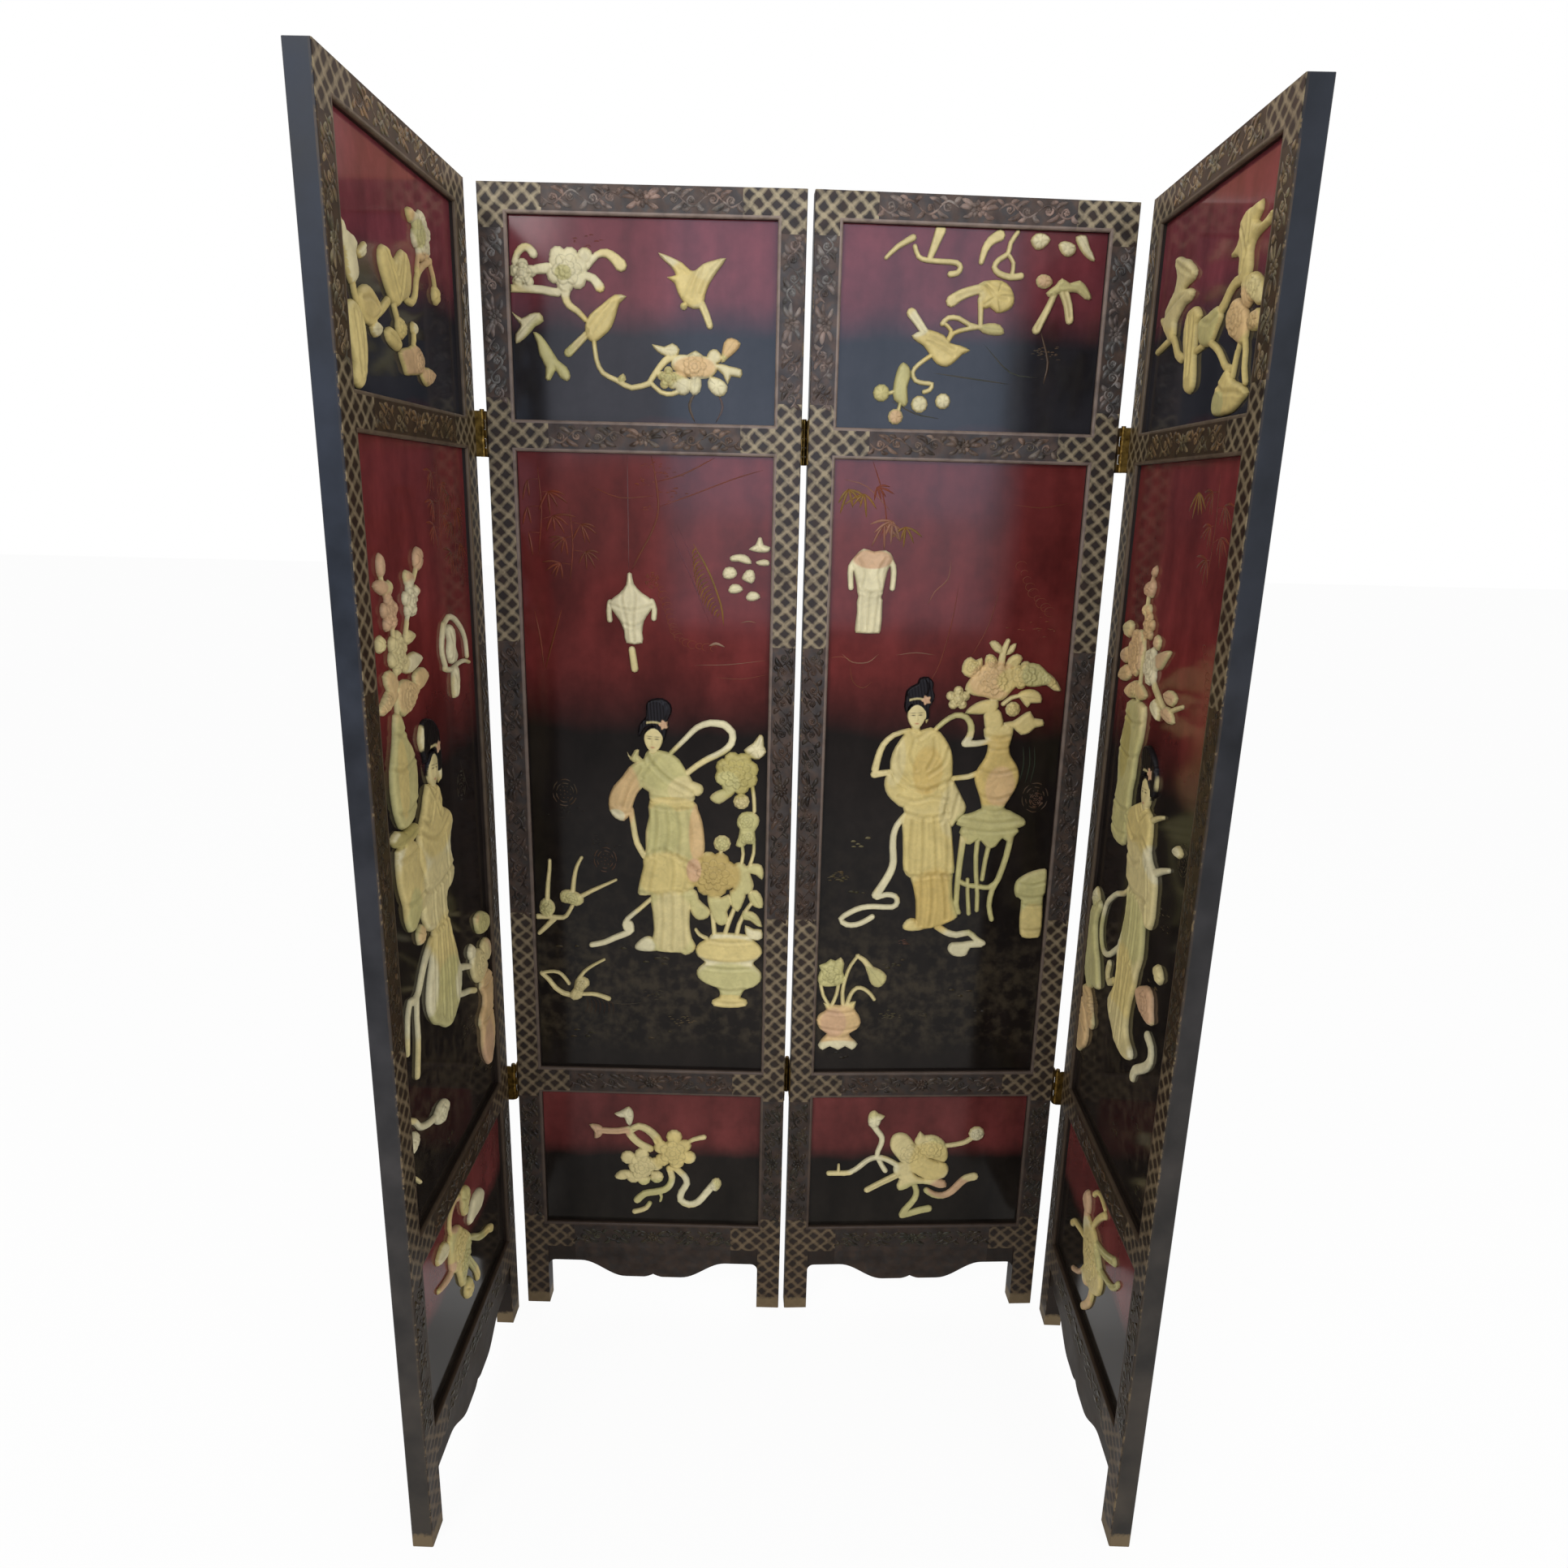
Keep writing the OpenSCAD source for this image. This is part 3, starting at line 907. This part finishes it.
LOWER_3 = [
    ["form", [[138, 384], [141, 395], [149, 399], [156, 393], [167, 388], [161, 380], [158, 371],
        [149, 365], [140, 370]]],
    ["band", 11, 8, [[147, 372], [156, 358], [164, 346], [163, 332], [158, 318], [157, 304]]],
    ["band", 9, 10, [[73, 275], [92, 275], [110, 276], [126, 287], [140, 300], [156, 306], [174, 302],
        [194, 290]]],
    ["band", 6, 4, [[90, 278], [90, 292]]],
    ["band", 8, 9, [[160, 302], [167, 289], [173, 279]]],
    ["form", [[179, 336], [183, 349], [194, 355], [207, 352], [217, 341], [228, 324], [244, 308],
        [264, 298], [281, 292], [286, 279], [280, 265], [262, 260], [243, 263], [223, 275], [205, 291],
        [190, 309], [181, 323]]],
    ["form", [[222, 336], [226, 347], [231, 357], [239, 349], [251, 350], [264, 346], [275, 336],
        [281, 322], [283, 306], [277, 296], [262, 300], [244, 308], [230, 322]]],
    ["band", 8, 9, [[278, 328], [298, 331], [314, 336], [326, 346]]],
    ["disc", 331, 352, 14],
    ["band", 10, 12, [[142, 240], [162, 252], [182, 263], [206, 277]]],
    ["form", [[188, 290], [204, 296], [218, 288], [224, 274], [232, 266], [246, 262], [264, 262],
        [281, 257], [284, 245], [270, 243], [256, 249], [240, 252], [224, 250], [214, 243], [199, 239],
        [195, 250], [199, 262], [189, 272]]],
    ["band", 10, 12, [[224, 254], [231, 238], [229, 222], [220, 208], [211, 196], [208, 188]]],
    ["band", 12, 13, [[208, 187], [222, 191], [240, 197], [255, 200]]],
    ["band", 11, 15, [[249, 238], [262, 229], [279, 227], [294, 235], [306, 249], [318, 261], [333, 265]]]
];

// ---- carvings of leaf 4, the right wing -------------------------------------

UPPER_4 = [
    ["form", [[104, 1735], [118, 1735], [136, 1729], [152, 1725], [168, 1717], [186, 1706], [180, 1697],
        [160, 1694], [150, 1690], [168, 1689], [186, 1682], [176, 1673], [156, 1671], [140, 1663],
        [128, 1654], [130, 1640], [120, 1631], [104, 1639], [88, 1650], [74, 1662], [68, 1669],
        [84, 1667], [92, 1677], [104, 1687], [118, 1695], [122, 1708], [112, 1722]]],
    ["band", 8, 12, [[64, 1626], [84, 1630], [104, 1634], [122, 1636], [136, 1626], [148, 1613],
        [166, 1606]]],
    ["form", [[178, 1658], [194, 1663], [210, 1659], [222, 1648], [213, 1640], [215, 1620], [217, 1600],
        [223, 1580], [223, 1566], [210, 1559], [195, 1565], [190, 1580], [186, 1600], [175, 1618],
        [171, 1640]]],
    ["band", 8, 8, [[164, 1606], [186, 1606], [210, 1608], [238, 1612]]],
    ["form", [[220, 1640], [234, 1645], [252, 1647], [270, 1651], [285, 1647], [291, 1636], [280, 1624],
        [268, 1611], [250, 1609], [233, 1614], [225, 1626]]],
    ["band", 14, 12, [[276, 1640], [294, 1650], [306, 1661], [322, 1668], [340, 1668]]],
    ["form", [[320, 1728], [334, 1739], [350, 1739], [368, 1741], [371, 1730], [362, 1722], [376, 1717],
        [392, 1721], [410, 1723], [396, 1711], [376, 1707], [362, 1702], [358, 1692], [362, 1678],
        [358, 1664], [342, 1661], [332, 1674], [330, 1688], [318, 1695], [298, 1698], [314, 1705],
        [322, 1712]]],
    ["form", [[344, 1660], [356, 1669], [374, 1669], [392, 1661], [405, 1648], [407, 1633], [390, 1633],
        [378, 1640], [366, 1634], [352, 1640]]],
    ["form", [[310, 1628], [320, 1647], [336, 1649], [352, 1641], [367, 1630], [375, 1612], [368, 1597],
        [354, 1599], [338, 1605], [321, 1614]]],
    ["form", [[372, 1622], [390, 1630], [403, 1625], [405, 1612], [392, 1607], [376, 1611]]],
    ["band", 8, 9, [[262, 1612], [278, 1606], [294, 1598], [308, 1588], [322, 1578], [342, 1574]]],
    ["band", 8, 8, [[366, 1606], [374, 1588], [376, 1572], [384, 1556]]],
    ["band", 8, 8, [[356, 1602], [350, 1586], [346, 1566]]],
    ["form", [[298, 1540], [306, 1557], [318, 1569], [334, 1576], [347, 1563], [362, 1558], [380, 1553],
        [395, 1544], [380, 1536], [358, 1527], [336, 1525], [306, 1526]]]
];

MIDDLE_4 = concat(flower(120, 1222, 34, 7), flower(186, 1212, 27, 6), flower(160, 1262, 19, 5),
    head(230, 1045, 34), [
    ["band", 4, 10, [[158, 1336], [152, 1326], [145, 1310], [142, 1290], [144, 1262], [148, 1210],
        [146, 1150]]],
    ["form", [[152, 1338], [160, 1345], [166, 1338], [160, 1330], [152, 1331]]],
    ["form", [[127, 1314], [138, 1322], [147, 1314], [140, 1303], [130, 1304]]],
    ["form", [[146, 1322], [158, 1326], [167, 1316], [158, 1302], [146, 1304]]],
    ["form", [[128, 1284], [138, 1292], [146, 1284], [138, 1274]]],
    ["form", [[144, 1290], [156, 1292], [160, 1282], [150, 1275]]],
    ["form", [[50, 1252], [70, 1262], [92, 1258], [86, 1240], [62, 1238]]],
    ["form", [[52, 1214], [74, 1224], [94, 1212], [78, 1200], [58, 1202]]],
    ["form", [[52, 1174], [60, 1192], [90, 1200], [104, 1186], [84, 1175]]],
    ["form", [[86, 1162], [106, 1176], [134, 1184], [162, 1180], [182, 1170], [160, 1160], [130, 1158],
        [106, 1154]]],
    ["form", [[200, 1228], [214, 1234], [236, 1240], [256, 1241], [240, 1226], [226, 1214], [206, 1212]]],
    ["form", [[196, 1256], [212, 1250], [206, 1236], [190, 1240]]],
    ["band", 12, 5, [[204, 1190], [226, 1178], [248, 1168], [268, 1164], [290, 1172], [318, 1181]]],
    ["form", [[252, 1188], [274, 1194], [297, 1188], [284, 1175], [262, 1176]]],
    ["form", [[248, 1160], [272, 1151], [296, 1156], [282, 1169], [262, 1171]]],
    ["form", [[204, 1160], [222, 1149], [239, 1147], [237, 1165], [218, 1174]]],
    // column vase
    ["form", [[110, 1150], [140, 1157], [182, 1155], [187, 1130], [183, 1104], [172, 1080], [170, 1050],
        [164, 1030], [166, 1000], [167, 970], [160, 948], [134, 941], [103, 948], [97, 970], [98, 1000],
        [104, 1030], [97, 1060], [98, 1090], [107, 1120]]],
    // figure
    ["form", [[198, 1098], [214, 1108], [232, 1105], [247, 1097], [257, 1084], [264, 1070], [263, 1056],
        [254, 1044], [246, 1060], [232, 1073], [216, 1074], [208, 1062], [202, 1080]]],
    ["band", 8, 7, [[206, 1082], [222, 1088], [240, 1089], [255, 1084]]],
    ["form", [[204, 1024], [224, 1030], [246, 1024], [261, 1017], [267, 996], [269, 972], [282, 960],
        [298, 953], [307, 936], [309, 916], [311, 896], [303, 875], [286, 873], [274, 884], [264, 894],
        [230, 898], [204, 900], [190, 916], [185, 940], [177, 964], [165, 980], [158, 1000],
        [180, 1013]]],
    ["band", 9, 5, [[254, 1012], [280, 1024], [300, 1031]]],
    ["band", 12, 6, [[290, 950], [316, 963], [342, 973]]],
    ["form", [[203, 908], [236, 910], [269, 904], [277, 878], [283, 850], [285, 824], [276, 800],
        [272, 776], [262, 750], [258, 720], [262, 702], [274, 692], [288, 687], [291, 676], [270, 663],
        [246, 661], [220, 665], [200, 679], [179, 691], [171, 712], [183, 730], [194, 750], [192, 780],
        [184, 800], [196, 824], [204, 850], [206, 880]]],
    ["band", 8, 9, [[208, 898], [180, 880], [150, 868], [126, 852], [108, 836], [98, 812], [96, 790],
        [104, 771], [122, 761], [144, 768], [164, 782], [190, 802]]],
    ["band", 13, 11, [[152, 756], [148, 739], [158, 729], [180, 742]]],
    ["form", [[280, 778], [300, 792], [322, 801], [340, 795], [347, 776], [353, 762], [336, 753],
        [312, 755], [294, 760]]],
    ["band", 14, 14, [[338, 737], [356, 730], [360, 714], [348, 697], [328, 682], [308, 668],
        [302, 654]]],
    ["form", [[350, 1006], [364, 1014], [380, 1008], [370, 999], [354, 999]]],
    ["form", [[336, 838], [352, 846], [368, 834], [358, 821], [342, 825]]],
    // flowering plant in its pot
    ["form", [[43, 830], [53, 843], [67, 837], [75, 822], [62, 811], [47, 816]]],
    ["form", [[41, 800], [56, 817], [78, 829], [88, 820], [77, 806], [71, 790], [75, 774], [87, 754],
        [101, 738], [113, 716], [120, 700], [104, 691], [88, 689], [70, 675], [56, 683], [42, 700],
        [41, 740]]],
    ["form", [[43, 670], [62, 678], [84, 668], [97, 650], [110, 632], [100, 619], [84, 623],
        [70, 634], [52, 644]]],
    ["form", [[41, 650], [60, 642], [77, 624], [86, 600], [79, 579], [62, 565], [42, 557]]]
]);

LOWER_4 = [
    ["form", [[176, 352], [190, 345], [208, 343], [228, 343], [251, 330], [271, 314], [283, 298],
        [279, 272], [256, 251], [236, 245], [216, 249], [200, 267], [188, 286], [183, 306], [176, 328]]],
    ["form", [[161, 354], [165, 371], [178, 380], [191, 370], [194, 350], [180, 342]]],
    ["band", 8, 6, [[203, 391], [215, 404], [234, 411], [258, 406]]],
    ["band", 9, 12, [[214, 342], [229, 365], [246, 384], [262, 398]]],
    ["band", 10, 14, [[240, 332], [262, 338], [284, 346], [304, 356], [322, 366]]],
    ["band", 10, 9, [[262, 306], [290, 312], [316, 320], [334, 332], [347, 349]]],
    ["band", 8, 11, [[190, 300], [164, 294], [142, 288], [124, 282], [112, 270]]],
    ["band", 8, 9, [[204, 264], [189, 243], [176, 228], [160, 216], [142, 206]]],
    ["band", 18, 12, [[244, 252], [240, 232], [232, 216], [220, 202], [208, 190]]],
    ["form", [[196, 252], [210, 264], [226, 256], [224, 240], [210, 233], [199, 240]]]
];

UPPER = [UPPER_1, UPPER_2, UPPER_3, UPPER_4];
MIDDLE = [MIDDLE_1, MIDDLE_2, MIDDLE_3, MIDDLE_4];
LOWER = [LOWER_1, LOWER_2, LOWER_3, LOWER_4];

// ---- the screen -------------------------------------------------------------

for (k = [1:4]) {
    at_leaf(k) stile(k, "left");
    at_leaf(k) stile(k, "right");
    at_leaf(k) rail(top_rail_at);
    at_leaf(k) rail(upper_rail_at);
    at_leaf(k) rail(lower_rail_at);
    at_leaf(k) rail(bottom_rail_at);
    at_leaf(k) apron();
    at_leaf(k) board(upper_window);
    at_leaf(k) board(middle_window);
    at_leaf(k) board(lower_window);
    at_leaf(k) carving(UPPER[k - 1], upper_window);
    at_leaf(k) carving(MIDDLE[k - 1], middle_window);
    at_leaf(k) carving(LOWER[k - 1], lower_window);
    at_leaf(k) hinge_plates(k);
    at_leaf(k) hinge_pins(k);
}
